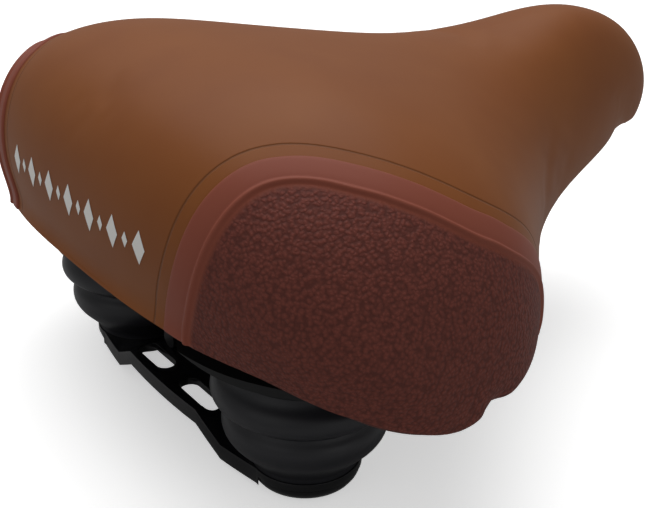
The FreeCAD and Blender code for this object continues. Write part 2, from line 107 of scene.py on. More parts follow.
def settle(piece, name, body):
    """Name a finished piece, bring its place into its mesh and let it ride on a body."""
    pick(piece)
    piece.name = name
    piece.data.name = name
    bpy.ops.object.transform_apply(location=True, rotation=True, scale=True)
    bpy.ops.object.shade_smooth_by_angle(angle=SMOOTH_BELOW)
    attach(piece, body)
    print(name, "has", len(piece.data.polygons), "faces")


# %% Tools for colours and shader nodes
def hex_colour(code):
    """Linear colour of an sRGB hex code such as '8A604B'."""
    shares = [int(code[i:i + 2], 16) / 255 for i in (0, 2, 4)]
    linear = [s / 12.92 if s <= 0.04045 else ((s + 0.055) / 1.055) ** 2.4 for s in shares]
    return (*linear, 1.0)


def add_node(tree, kind, inputs=(), **settings):
    """Add a node; inputs is a dict of socket name or number to a value or to another socket."""
    node = tree.nodes.new(kind)
    for name, value in settings.items():
        setattr(node, name, value)
    for name, value in dict(inputs).items():
        if isinstance(value, bpy.types.NodeSocket):
            tree.links.new(value, node.inputs[name])
        else:
            node.inputs[name].default_value = value
    return node


def new_material(name, **surface):
    """An empty material with a Principled surface; returns it, its tree and the shader."""
    material = bpy.data.materials.new(name)
    material.use_nodes = True
    tree = material.node_tree
    tree.nodes.clear()
    shader = add_node(tree, "ShaderNodeBsdfPrincipled", surface)
    output = add_node(tree, "ShaderNodeOutputMaterial", {"Surface": shader.outputs[0]})
    output.is_active_output = True
    return material, tree, shader


# %% [markdown]
# ## Measuring the CAD
# A search tree of a node's faces answers where a straight line from outside meets it. That is
# how the soft pieces find the shape that they cover.

# %% Measuring tools
def surface_of(piece):
    """A search tree of one piece's faces."""
    bpy.context.view_layer.update()
    return BVHTree.FromObject(piece, bpy.context.evaluated_depsgraph_get())


def mesh_from(name, points, faces):
    """A new object from points and faces."""
    mesh = bpy.data.meshes.new(name)
    mesh.from_pydata([tuple(point) for point in points], [], faces)
    piece = bpy.data.objects.new(name, mesh)
    bpy.context.collection.objects.link(piece)
    return piece


def unit(vectors):
    """Rows of numbers, each brought to length 1."""
    return vectors / np.linalg.norm(vectors, axis=1, keepdims=True)


skin = surface_of(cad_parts["cover"])
foam = surface_of(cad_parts["foam_pad"])
skin_low, skin_high = [Vector(corner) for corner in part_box("cover")]
print("skin from", [round(v / MM, 1) for v in skin_low], "to", [round(v / MM, 1) for v in skin_high])

# %% [markdown]
# ## The smooth skin
# A saddle's skin is one sheet pulled over the foam. Its mesh is laid out the same way: one
# rectangular grid, whose outer row is the lower rim and whose middle row is a spine along the
# crown. A turn from 0 to 3 goes round the right half: round the rear, along the side, round the
# nose. At each turn a fan of lines finds the skin from the spine down to the rim.

# %% Fan of lines from the spine
REAR_PIVOT = 66 * MM
NOSE_PIVOT = 38 * MM
FAR = 400 * MM
FOAM_REAR_INSET, FOAM_NOSE_INSET = 5 * MM, 12 * MM      # where the foam's underside is sure to be met
SLOPE_STEP = 5 * MM
RIM_RISES = math.radians(-20), math.radians(25)         # the rim's rise over its root lies between these
RIM_NORMAL_Z = -0.5
HALVINGS = 14
PATH_STEPS = 44
spine_rear, spine_front = skin_low.y + REAR_PIVOT, skin_high.y - NOSE_PIVOT


def foam_floor(y):
    """Height of the foam's underside, carried on in a straight line past its ends."""
    inner = min(max(y, skin_low.y + FOAM_REAR_INSET), skin_high.y - FOAM_NOSE_INSET)
    here = foam.ray_cast((0, inner, -FAR), (0, 0, 1))[0].z
    ahead = foam.ray_cast((0, inner + SLOPE_STEP, -FAR), (0, 0, 1))[0].z
    return here + (y - inner) * (ahead - here) / SLOPE_STEP


def fan_root(turn):
    """Middle of the fan and the compass bearing of its lines, for one turn."""
    along = min(max(turn - 1, 0), 1)
    y = spine_rear + (spine_front - spine_rear) * along
    bearing = math.pi / 2 * (min(turn, 1) - 1 + max(turn - 2, 0))
    return Vector((0, y, foam_floor(y))), bearing


def line_hit(root, bearing, rise):
    """Where the line at this bearing and rise meets the skin from outside; None under the rim."""
    level = math.cos(rise)
    out = Vector((math.cos(bearing) * level, math.sin(bearing) * level, math.sin(rise)))
    place, normal, _, _ = skin.ray_cast(root + out * FAR, -out, FAR)
    return place if place is not None and normal.z > RIM_NORMAL_Z else None


def fan_path(turn):
    """Points from the crown down to the rim, evenly spaced, at one turn."""
    root, bearing = fan_root(turn)
    low, high = RIM_RISES
    for _ in range(HALVINGS):
        middle = (low + high) / 2
        if line_hit(root, bearing, middle) is None:
            low = middle
        else:
            high = middle
    rises = np.linspace(math.pi / 2, high, 4 * PATH_STEPS)
    path = [line_hit(root, bearing, rise) for rise in rises]
    path = np.array([point for point in path if point is not None])
    run = np.concatenate([[0], np.cumsum(np.linalg.norm(np.diff(path, axis=0), axis=1))])
    even = np.linspace(0, run[-1], PATH_STEPS)
    return np.stack([np.interp(even, run, path[:, axis]) for axis in range(3)], axis=1)


TURNS = 181
fan = np.array([fan_path(turn) for turn in np.linspace(0, 3, TURNS)])
print("rim heights in mm, round the right half:", np.round(fan[::30, -1, 2] / MM, 1))

# %% [markdown]
# Each grid point has a turn and a share of the way from the spine to the rim. Rings of the grid
# shrink to the spine as they go up, so no point of the skin gathers many edges.

# %% Grid of the skin
HALF_ACROSS = 28
ALONG = 90


def turn_and_share(column, row):
    """Turn and share of the way to the rim, for one grid point."""
    side = abs(column - HALF_ACROSS)
    ring = max(side, HALF_ACROSS - row, row - (ALONG - HALF_ACROSS))
    front_row = ALONG - HALF_ACROSS
    if ring == side and HALF_ACROSS <= row <= front_row:
        turn = 1 + (row - HALF_ACROSS) / (front_row - HALF_ACROSS)
    elif ring == side and row < HALF_ACROSS:
        turn = 1 - 0.5 * (HALF_ACROSS - row) / ring
    elif ring == side:
        turn = 2 + 0.5 * (row - front_row) / ring
    else:
        turn = 0.5 * side / ring if row < HALF_ACROSS else 3 - 0.5 * side / ring
    return turn, ring / HALF_ACROSS


def skin_point(column, row):
    """Place of one grid point, read from the fan and mirrored for the left half."""
    turn, share = turn_and_share(column, row)
    across, down = turn / 3 * (TURNS - 1), share * (fan.shape[1] - 1)
    i, j = min(int(across), TURNS - 2), min(int(down), fan.shape[1] - 2)
    u, v = across - i, down - j
    point = ((1 - u) * (1 - v) * fan[i, j] + u * (1 - v) * fan[i + 1, j]
             + (1 - u) * v * fan[i, j + 1] + u * v * fan[i + 1, j + 1])
    return point * (1 if column >= HALF_ACROSS else -1, 1, 1)


columns, rows = 2 * HALF_ACROSS + 1, ALONG + 1
RELAX_PASSES = 8
RELAX_SHARE = 0.6
RELAX_REACH = 12 * MM
grid = np.array([[skin_point(column, row) for row in range(rows)] for column in range(columns)])


def relax(points):
    """One pass that evens out the inner points and puts them back on the CAD skin."""
    inner = points[1:-1, 1:-1]
    around = (points[2:, 1:-1] + points[:-2, 1:-1] + points[1:-1, 2:] + points[1:-1, :-2]) / 4
    moved = inner + RELAX_SHARE * (around - inner)
    normals = np.cross(points[2:, 1:-1] - points[:-2, 1:-1], points[1:-1, 2:] - points[1:-1, :-2])
    normals /= np.linalg.norm(normals, axis=2, keepdims=True) + 1e-12
    for index in np.ndindex(moved.shape[:2]):
        out = Vector(normals[index])
        place = skin.ray_cast(Vector(moved[index]) + out * RELAX_REACH, -out, 2 * RELAX_REACH)[0]
        if place is not None:
            moved[index] = place
    points[1:-1, 1:-1] = moved


for _ in range(RELAX_PASSES):
    relax(grid)
print("skin grid of", columns, "by", rows, "points")

# %% [markdown]
# The rim turns in under the base as a hem. Its rings follow the rim inwards at the height of
# the base's underside, and the last one turns up to end against the base.

# %% Rim loop and hem
HEM_RINGS = ((0.9, -0.2), (4.0, 0.0), (8.0, 0.0), (11.5, 0.1), (11.9, 1.3))     # inwards and up, in mm
HEM_BELOW_FOAM = 4.5 * MM
rim = [(column, 0) for column in range(columns)] + [(columns - 1, row) for row in range(1, rows)]
rim += [(column, rows - 1) for column in range(columns - 2, -1, -1)]
rim += [(0, row) for row in range(rows - 2, 0, -1)]
rim_points = np.array([grid[place] for place in rim])
ahead = np.roll(rim_points, -2, axis=0) - np.roll(rim_points, 2, axis=0)
inward = unit(np.stack([-ahead[:, 1], ahead[:, 0]], axis=1))
skin_points = [grid[column, row] for column in range(columns) for row in range(rows)]
skin_faces = [(c * rows + r, (c + 1) * rows + r, (c + 1) * rows + r + 1, c * rows + r + 1)
              for c in range(columns - 1) for r in range(rows - 1)]
ring_before = [column * rows + row for column, row in rim]
for reach, lift in HEM_RINGS:
    ring = []
    for point, direction in zip(rim_points, inward):
        x, y = point[:2] + direction * reach * MM
        ring.append(len(skin_points))
        skin_points.append((x, y, foam_floor(y) - HEM_BELOW_FOAM + lift * MM))
    skin_faces += [(ring_before[k - 1], ring[k - 1], ring[k], ring_before[k]) for k in range(len(ring))]
    ring_before = ring
cover = mesh_from("cover_skin", skin_points, skin_faces)
hem_start = columns * rows
print("hem of", len(HEM_RINGS), "rings round", len(rim), "rim points")

# %% [markdown]
# The foam presses the skin outwards a little. Cloth with an inner pressure gives it that drum
# tightness; the rim and the hem are stapled, so they are pinned. No point moves further than a
# millimetre and a half, because the foam is firm.

# %% Foam pressure
PRESS_CAP = 1.5 * MM
INNER_PRESSURE = 4.0
PRESS_FRAMES = 20


def press_out(piece, pinned, cap):
    """Let inner pressure push the piece out like cloth, then keep a capped part of the move."""
    held = piece.vertex_groups.new(name="stapled")
    held.add(pinned, 1.0, "REPLACE")
    before = np.array([vertex.co for vertex in piece.data.vertices])
    cloth = piece.modifiers.new("Cloth", "CLOTH")
    cloth.settings.vertex_group_mass = held.name
    cloth.settings.use_pressure = True
    cloth.settings.uniform_pressure_force = INNER_PRESSURE
    cloth.settings.effector_weights.gravity = 0.0
    for frame_number in range(1, PRESS_FRAMES + 1):
        bpy.context.scene.frame_set(frame_number)
    settled = piece.evaluated_get(bpy.context.evaluated_depsgraph_get())
    move = np.array([vertex.co for vertex in settled.data.vertices]) - before
    length = np.linalg.norm(move, axis=1, keepdims=True)
    print("cloth moved points by up to", round(float(length.max()) / MM, 1), "mm")
    move *= np.minimum(1.0, cap / np.maximum(length, 1e-9))
    piece.modifiers.remove(cloth)
    piece.data.vertices.foreach_set("co", (before + move).ravel())
    piece.data.update()
    bpy.context.scene.frame_set(1)


pinned = [column * rows + row for column, row in rim] + list(range(hem_start, len(skin_points)))
press_out(cover, pinned, PRESS_CAP)
pick(cover)
bpy.ops.object.mode_set(mode="EDIT")
bpy.ops.mesh.select_all(action="SELECT")
bpy.ops.mesh.normals_make_consistent(inside=False)
bpy.ops.object.mode_set(mode="OBJECT")
apply_modifier(cover, "SUBSURF", levels=1, render_levels=1)
top_face = max(cover.data.polygons, key=lambda face: face.center.z)
print("crown's face looks", "up" if top_face.normal.z > 0 else "down")

# %% [markdown]
# ## Corner patches
# Each patch is cut to an outline that is drawn square to the saddle's corner. The outline comes
# from the CAD patch: its shadow along that direction is convex, so the shadow's hull is its
# border. Heights are measured from the rim, so the border starts and ends on it. Lines that look
# for the cover stop behind its near side, so none of them finds the other wing.

# %% Outline of the right patch
CORNER = math.radians(60)
tangent = Vector((math.cos(CORNER), math.sin(CORNER), 0))
outward = Vector((math.sin(CORNER), -math.cos(CORNER), 0))
cover_tree = surface_of(cover)
patch_vertices = [vertex.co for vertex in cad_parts["corner_patch_right"].data.vertices]
shadow = [Vector((vertex.dot(tangent), vertex.z)) for vertex in patch_vertices]
hull = [shadow[index] for index in geometry.convex_hull_2d(shadow)]
left_end, right_end = min(point.x for point in hull), max(point.x for point in hull)
RAY_MARGIN = 3 * MM
RIM_SEARCH = -6 * MM, 30 * MM       # the rim's height over the skin's lowest point lies between these
PATCH_END_NORMAL_Z = -0.6
RIM_PLACES = 60
RIM_EASE = 4
least_out = min(vertex.dot(outward) for vertex in patch_vertices)
ray_length = FAR - least_out + RAY_MARGIN


def eased(values, rounds):
    """A copy of a row of values, each drawn towards its two neighbours. The ends stay."""
    values = np.array(values)
    for _ in range(rounds):
        values[1:-1] = (values[:-2] + 2 * values[1:-1] + values[2:]) / 4
    return values


def cover_hit(along, height):
    """Point and normal of the cover, seen square to the corner."""
    start = tangent * along + outward * FAR + Vector((0, 0, height))
    return cover_tree.ray_cast(start, -outward, ray_length)[:2]


def rim_at(along):
    """Lowest height at which the cover's outer face is still seen, and how far out it is there."""
    low, high = [skin_low.z + height for height in RIM_SEARCH]
    out = least_out
    for _ in range(HALVINGS):
        middle = (low + high) / 2
        place, normal = cover_hit(along, middle)
        if place is None or normal.z < PATCH_END_NORMAL_Z:
            low = middle
        else:
            high, out = middle, place.dot(outward)
    return high, out


rim_places = np.linspace(left_end, right_end, RIM_PLACES)
rim_heights, rim_outs = eased([rim_at(along) for along in rim_places], RIM_EASE).T


def border_top(along):
    """Height of the hull's upper side at one place along."""
    best = -FAR
    for start, end in zip(hull, hull[1:] + hull[:1]):
        low, high = sorted((start, end), key=lambda point: point.x)
        if low.x <= along <= high.x and high.x > low.x:
            best = max(best, low.y + (high.y - low.y) * (along - low.x) / (high.x - low.x))
    return best


def rim_height(along):
    """Height of the rim at one place along."""
    return float(np.interp(along, rim_places, rim_heights))


ARCH_SAMPLES = 400
ARCH_STEPS = 200
ARCH_EASE = 30
EDGE_IN = 0.05 * MM
spread = (1 - np.cos(np.linspace(0, math.pi, ARCH_SAMPLES))) / 2
arch_alongs = left_end + EDGE_IN + (right_end - left_end - 2 * EDGE_IN) * spread
arch = [(left_end, rim_height(left_end))]
arch += [(along, border_top(along)) for along in arch_alongs]
arch += [(right_end, rim_height(right_end))]
arch = np.array(arch)
arch_run = np.concatenate([[0], np.cumsum(np.linalg.norm(np.diff(arch, axis=0), axis=1))])
arch_even = np.linspace(0, arch_run[-1], ARCH_STEPS + 1)
arch = np.stack([np.interp(arch_even, arch_run, arch[:, axis]) for axis in range(2)], axis=1)
arch = eased(arch, ARCH_EASE)
print("patch border is", round(arch_run[-1] / MM), "mm long")

# %% [markdown]
# From the border inwards come a rounded edge, a smooth band, a raised bead, a narrow groove,
# and the grained field. Band rows keep their true distance from the border. Every row is eased,
# because the faces of the cover would otherwise show as a wavy bead.

# %% Rows of the patch
BAND_ROWS = ((0.0, -0.4), (0.05, 0.35), (0.4, 0.8), (1.2, 0.95), (4.0, 1.0),      # from the border and
             (6.9, 0.95), (7.5, 0.8), (8.0, 0.95), (8.5, 1.5), (9.1, 1.75),      # over the cover, in mm
             (9.7, 1.5), (10.2, 0.85), (10.7, 0.6), (11.4, 0.75), (12.4, 0.85))
FIELD_ROWS = 34
FIELD_HEIGHT = 0.85
BASE_SPREAD = (0.38, 0.66)          # where the innermost row lies on the rim, as shares of the width
OVER_RIM = 0.15 * MM                # how far over the rim the lowest points of the patch lie
NORMAL_EASE = 10
ROW_EASE = 16


def on_cover(along, over):
    """Point and normal of the cover at a height over the rim, or the nearest ones to it."""
    height = rim_height(along) + max(over, 0.0) + OVER_RIM
    place, normal = cover_hit(along, height)
    if place is None:
        out = float(np.interp(along, rim_places, rim_outs))
        aim = tangent * along + outward * out + Vector((0, 0, height))
        place, normal = cover_tree.find_nearest(aim)[:2]
    return np.array(place), np.array(normal)


border = [on_cover(along, height - rim_height(along)) for along, height in arch]
border_points = np.array([place for place, _ in border])
border_normals = unit(eased([normal for _, normal in border], NORMAL_EASE))
border_steps = unit(np.gradient(border_points, axis=0))
inwards = unit(eased(np.cross(border_steps, border_normals), NORMAL_EASE))
inwards *= np.sign(np.sum(inwards * (border_points.mean(axis=0) - border_points), axis=1).mean())
plan = []
for distance, _ in BAND_ROWS:
    shifted = border_points + inwards * distance * MM
    along = shifted @ np.array(tangent)
    over = shifted[:, 2] - np.interp(along, rim_places, rim_heights)
    over[[0, -1]] = 0.0
    plan.append(eased(np.stack([along, over], axis=1), ROW_EASE))
base_row = left_end + (right_end - left_end) * np.linspace(*BASE_SPREAD, ARCH_STEPS + 1)
base_row = np.stack([base_row, np.zeros(ARCH_STEPS + 1)], axis=1)
for step in range(1, FIELD_ROWS + 1):
    share = step / FIELD_ROWS
    plan.append(plan[len(BAND_ROWS) - 1] * (1 - share) + base_row * share)
heights = [height for _, height in BAND_ROWS] + [FIELD_HEIGHT] * FIELD_ROWS
grain_share = [0.0] * (len(BAND_ROWS) - 2) + [0.4, 1.0] + [1.0] * FIELD_ROWS
print("patch has", len(plan), "rows of", ARCH_STEPS + 1, "points")

# %% Patch meshes
TUCK = -0.6                         # depth of the patch's lower edge under the cover, in mm
PLACE_EASE = 2
LIFT_EASE = 8


def patch_grid():
    """Points of the patch with a tucked edge along the rim, and how grained each one is."""
    points, grains = [], []
    for row, height, grain in zip(plan + [plan[-1]], heights + [TUCK], grain_share + [1.0]):
        hits = [on_cover(along, over) for along, over in row]
        places = eased([place for place, _ in hits], PLACE_EASE)
        normals = unit(eased([normal for _, normal in hits], LIFT_EASE))
        lifts = np.array([TUCK] + [height] * len(hits) + [TUCK])
        ends = [0, *range(len(hits)), -1]
        points += list(places[ends] + normals[ends] * lifts[:, None] * MM)
        grains += [grain] * len(ends)
    return points, grains


patch_points, patch_grains = patch_grid()
width = ARCH_STEPS + 3
patch_faces = [(r * width + k, r * width + k + 1, (r + 1) * width + k + 1, (r + 1) * width + k)
               for r in range(len(plan)) for k in range(width - 1)]
patches = []
for name, side in (("corner_patch_skin_right", 1), ("corner_patch_skin_left", -1)):
    patch = mesh_from(name, [point * (side, 1, 1) for point in patch_points], patch_faces)
    grain = patch.data.attributes.new("grain", "FLOAT", "POINT")
    grain.data.foreach_set("value", patch_grains)
    middle_face = patch.data.polygons[len(patch_faces) // 2]
    if middle_face.normal.dot(Vector((outward.x * side, outward.y, 0))) < 0:
        patch.data.flip_normals()
    apply_modifier(patch, "SUBSURF", levels=1, render_levels=1)
    patches.append(patch)

# %% Distance from the patches, for the pressed line beside them
border_tree = KDTree(ARCH_STEPS + 1)
for index, point in enumerate(border_points):
    border_tree.insert(point, index)
border_tree.balance()
distances = []
for vertex in cover.data.vertices:
    mirrored_point = Vector((abs(vertex.co.x), vertex.co.y, vertex.co.z))
    _, index, distance = border_tree.find(mirrored_point)
    between_ends = left_end < mirrored_point.dot(tangent) < right_end
    from_border = mirrored_point - Vector(border_points[index])
    inside = between_ends and from_border.dot(Vector(inwards[index])) > 0
    distances.append(-distance if inside else distance)
gap = cover.data.attributes.new("patch_gap", "FLOAT", "POINT")
gap.data.foreach_set("value", distances)
print("cover points inside the patches' borders:", sum(value < 0 for value in distances))

# %% [markdown]
# ## Printed ornament
# A row of small lozenges is screen printed on the rear, between the patches. Each one is a
# little grid that is laid on the cover.

# %% Ornament
LOZENGE_PITCH = 7.0 * MM
LOZENGE_COUNT = 13
ORNAMENT_LIFT = 41.0 * MM           # above the rear rim
INK = 0.12 * MM
LOZENGE_CELLS = 6
LARGE_HALVES, SMALL_HALVES = (3.1, 5.0), (1.5, 2.4)     # half the width and half the height, in mm
wide = LOZENGE_CELLS + 1
ink_points, ink_faces = [], []
for number in range(LOZENGE_COUNT):
    half_width, half_height = LARGE_HALVES if number % 2 == 0 else SMALL_HALVES
    middle_x = (number - (LOZENGE_COUNT - 1) / 2) * LOZENGE_PITCH
    first = len(ink_points)
    for a, b in np.ndindex(wide, wide):
        right_share, up_share = (a - b) / LOZENGE_CELLS, (a + b) / LOZENGE_CELLS - 1
        x = middle_x + right_share * half_width * MM
        z = skin_low.z + ORNAMENT_LIFT + up_share * half_height * MM
        place, normal = cover_tree.ray_cast((x, -FAR, z), (0, 1, 0))[:2]
        ink_points.append(place + normal * INK)
    for a, b in np.ndindex(LOZENGE_CELLS, LOZENGE_CELLS):
        corner = first + a * wide + b
        ink_faces.append((corner, corner + wide, corner + wide + 1, corner + 1))
ornament = mesh_from("printed_ornament", ink_points, ink_faces)
if ornament.data.polygons[0].normal.y > 0:
    ornament.data.flip_normals()

# %% [markdown]
# ## Springs and cups
# Both are turned pieces: an outline in the XZ plane is spun about the spring's axis.

# %% Lathe
LATHE_STEPS = 72
LATHE_MERGE = 0.02 * MM


def lathe(name, outline, axis_x, axis_y):
    """Spin an outline of (radius, height) pairs in metres into a closed piece."""
    mesh = bpy.data.meshes.new(name)
    corners = [(axis_x + radius, axis_y, height) for radius, height in outline]
    mesh.from_pydata(corners, [(k, k + 1) for k in range(len(corners) - 1)], [])
    piece = bpy.data.objects.new(name, mesh)
    bpy.context.collection.objects.link(piece)
    pick(piece)
    bpy.ops.object.mode_set(mode="EDIT")
    bpy.ops.mesh.select_all(action="SELECT")
    bpy.ops.mesh.spin(steps=LATHE_STEPS, angle=2 * math.pi, center=(axis_x, axis_y, 0), axis=(0, 0, 1))
    bpy.ops.mesh.select_all(action="SELECT")
    bpy.ops.mesh.remove_doubles(threshold=LATHE_MERGE)
    bpy.ops.mesh.normals_make_consistent(inside=False)
    bpy.ops.object.mode_set(mode="OBJECT")
    return piece


CORNER_CUTS = 3


def smooth_outline(corners, count):
    """A smooth line through corners, evenly spaced, as (radius, height) pairs in metres."""
    mixed = np.array(corners) * MM
    for _ in range(CORNER_CUTS):
        cut = [mixed[0]]
        for start, end in zip(mixed, mixed[1:]):
            cut += [start * 0.75 + end * 0.25, start * 0.25 + end * 0.75]
        mixed = np.array(cut + [mixed[-1]])
    run = np.concatenate([[0], np.cumsum(np.linalg.norm(np.diff(mixed, axis=0), axis=1))])
    even = np.linspace(0, run[-1], count)
    return [tuple(np.interp(value, run, mixed[:, axis]) for axis in range(2)) for value in even]


# %% Elastomers
spring_low, spring_high = [Vector(corner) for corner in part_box("elastomer_right")]
spring_x, spring_y = (spring_low.x + spring_high.x) / 2, (spring_low.y + spring_high.y) / 2
foot, head = spring_low.z / MM, spring_high.z / MM
tall = head - foot
print("spring axis at", round(spring_x / MM, 1), round(spring_y / MM, 1), "mm")
print("spring from", round(foot, 1), "to", round(head, 1), "mm")
SPRING_OUTLINE = ((17.2, 0.0), (17.3, 0.05), (18.6, 0.10), (21.8, 0.20), (24.6, 0.29),       # radius in mm,
                  (26.0, 0.39), (25.6, 0.50), (23.6, 0.565), (23.2, 0.60), (25.0, 0.64),     # share of the
                  (28.2, 0.69), (29.2, 0.77), (28.0, 0.87), (25.0, 0.94), (24.0, 1.0))       # height
OUTLINE_POINTS = 60
spring_corners = [(radius, foot + share * tall) for radius, share in SPRING_OUTLINE]
side_line = smooth_outline(spring_corners, OUTLINE_POINTS)
spring_line = [(0.0, side_line[0][1])] + side_line + [(0.0, side_line[-1][1])]
springs = [lathe("rubber_spring_" + name, spring_line, side * spring_x, spring_y)
           for name, side in (("right", 1), ("left", -1))]

# %% Cups
cup_low, cup_high = [Vector(corner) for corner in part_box("elastomer_cup_right")]
cup_r = (cup_high.x - cup_low.x) / 2 / MM
bottom, top = cup_low.z / MM, cup_high.z / MM
CUP_WALL = 1.5
CUP_BORE_R = 4.1
DIMPLE_R = 10.0
cup_outline = [(CUP_BORE_R, top), (DIMPLE_R + 1.4, top), (DIMPLE_R + 1.4, bottom + CUP_WALL),
               (cup_r - 3.0, bottom + CUP_WALL), (cup_r - CUP_WALL, top - 1.2), (cup_r - CUP_WALL, top),
               (cup_r - 0.5, top), (cup_r, top - 0.5), (cup_r, top - 1.4), (cup_r - 0.4, top - 2.4),
               (cup_r - 1.4, bottom + 0.7), (cup_r - 2.6, bottom), (DIMPLE_R + 0.6, bottom),
               (DIMPLE_R, bottom + 0.6), (DIMPLE_R, top - CUP_WALL), (CUP_BORE_R, top - CUP_WALL),
               (CUP_BORE_R, top)]
cup_line = [(radius * MM, height * MM) for radius, height in cup_outline]
cups = [lathe("spring_cup_" + name, cup_line, side * spring_x, spring_y)
        for name, side in (("right", 1), ("left", -1))]

# %% [markdown]
# ## Bridge plate
# The CAD plate has sharp edges. A pressed plate's edges are rounded, so a merged copy of the
# node is bevelled.

# %% Bridge plate
COPY_MERGE = 0.005 * MM
EDGE_ROUND = 0.5 * MM
SHARP_OVER = math.radians(40)


def merged_copy(node, name):
    """A copy of a CAD node with its points merged."""
    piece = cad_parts[node].copy()
    piece.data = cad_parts[node].data.copy()
    bpy.context.collection.objects.link(piece)
    for key in list(piece.keys()):
        del piece[key]
    piece.parent = None
    piece.matrix_world = Matrix.Identity(4)
    piece.name = name
    piece.data.materials.clear()
    pick(piece)
    bpy.ops.object.mode_set(mode="EDIT")
    bpy.ops.mesh.select_all(action="SELECT")
    bpy.ops.mesh.remove_doubles(threshold=COPY_MERGE)
    bpy.ops.mesh.tris_convert_to_quads()
    bpy.ops.object.mode_set(mode="OBJECT")
    return piece


plate = merged_copy("bridge_plate", "pressed_bridge_plate")
apply_modifier(plate, "BEVEL", width=EDGE_ROUND, segments=3, limit_method="ANGLE",
               angle_limit=SHARP_OVER)

# %% [markdown]
# ## Materials
# The cover's points know how far they are from a patch. That distance draws the pressed line
# beside each patch, a groove whose darker colour is painted shade, and under the patch the cover has the
# patch's own colour.

# %% Skin materials
LINE_FROM_PATCH = 4.6 * MM
LINE_HALF_WIDTH = 0.6 * MM


def in_mm(tree, texture_coordinate, size):
    """Object coordinates scaled so that a pattern of scale 1 repeats every size mm."""
    mapping = add_node(tree, "ShaderNodeMapping", {"Vector": texture_coordinate.outputs["Object"],
                                                   "Scale": (1 / (size * MM),) * 3})
    return mapping.outputs["Vector"]


def smooth_leather():
    """Brown smooth synthetic leather with fine pores, and the pressed line beside the patches, its groove
    darkened with painted shade.
    """
    material, tree, shader = new_material("smooth_brown_synthetic_leather", **{
        "Roughness": 0.48, "Specular IOR Level": 0.13})
    place = add_node(tree, "ShaderNodeTexCoord")
    mottle = add_node(tree, "ShaderNodeTexNoise", {"Vector": in_mm(tree, place, 26.0), "Scale": 1.0,
                                                   "Detail": 3.0})
    colour = add_node(tree, "ShaderNodeMix", {"Factor": mottle.outputs["Fac"], "A": hex_colour("7A4420"),
                                              "B": hex_colour("865028")}, data_type="RGBA")
    gap = add_node(tree, "ShaderNodeAttribute", attribute_name="patch_gap")
    offset = add_node(tree, "ShaderNodeMath", {0: gap.outputs["Fac"], 1: LINE_FROM_PATCH},
                      operation="SUBTRACT")
    away = add_node(tree, "ShaderNodeMath", {0: offset.outputs[0]}, operation="ABSOLUTE")
    line = add_node(tree, "ShaderNodeMapRange", {"Value": away.outputs[0], "From Min": 0.0,
                                                 "From Max": LINE_HALF_WIDTH, "To Min": 1.0, "To Max": 0.0},
                    interpolation_type="SMOOTHSTEP")
    # painted shade: the colour along the pressed line's groove is darkened to 6C4124, on top of the groove's
    # bump
    painted_line_shade = add_node(tree, "ShaderNodeMix", {"Factor": line.outputs[0], "A": colour.outputs["Result"],
                                            "B": hex_colour("6C4124")}, data_type="RGBA")
    covered = add_node(tree, "ShaderNodeMapRange", {"Value": gap.outputs["Fac"], "From Min": -1.0 * MM,
                                                    "From Max": -0.2 * MM, "To Min": 1.0, "To Max": 0.0})
    dyed = add_node(tree, "ShaderNodeMix", {"Factor": covered.outputs[0], "A": painted_line_shade.outputs["Result"],
                                            "B": hex_colour("552C24")}, data_type="RGBA")
    tree.links.new(dyed.outputs["Result"], shader.inputs["Base Color"])
    pores = add_node(tree, "ShaderNodeTexNoise", {"Vector": in_mm(tree, place, 0.55), "Scale": 1.0,
                                                  "Detail": 2.0})
    pore_bump = add_node(tree, "ShaderNodeBump", {"Height": pores.outputs["Fac"], "Strength": 0.35,
                                                  "Distance": 0.05 * MM})
    line_bump = add_node(tree, "ShaderNodeBump", {"Height": line.outputs[0], "Strength": 1.0,
                                                  "Distance": 0.25 * MM,
                                                  "Normal": pore_bump.outputs["Normal"]}, invert=True)
    tree.links.new(line_bump.outputs["Normal"], shader.inputs["Normal"])
    return material


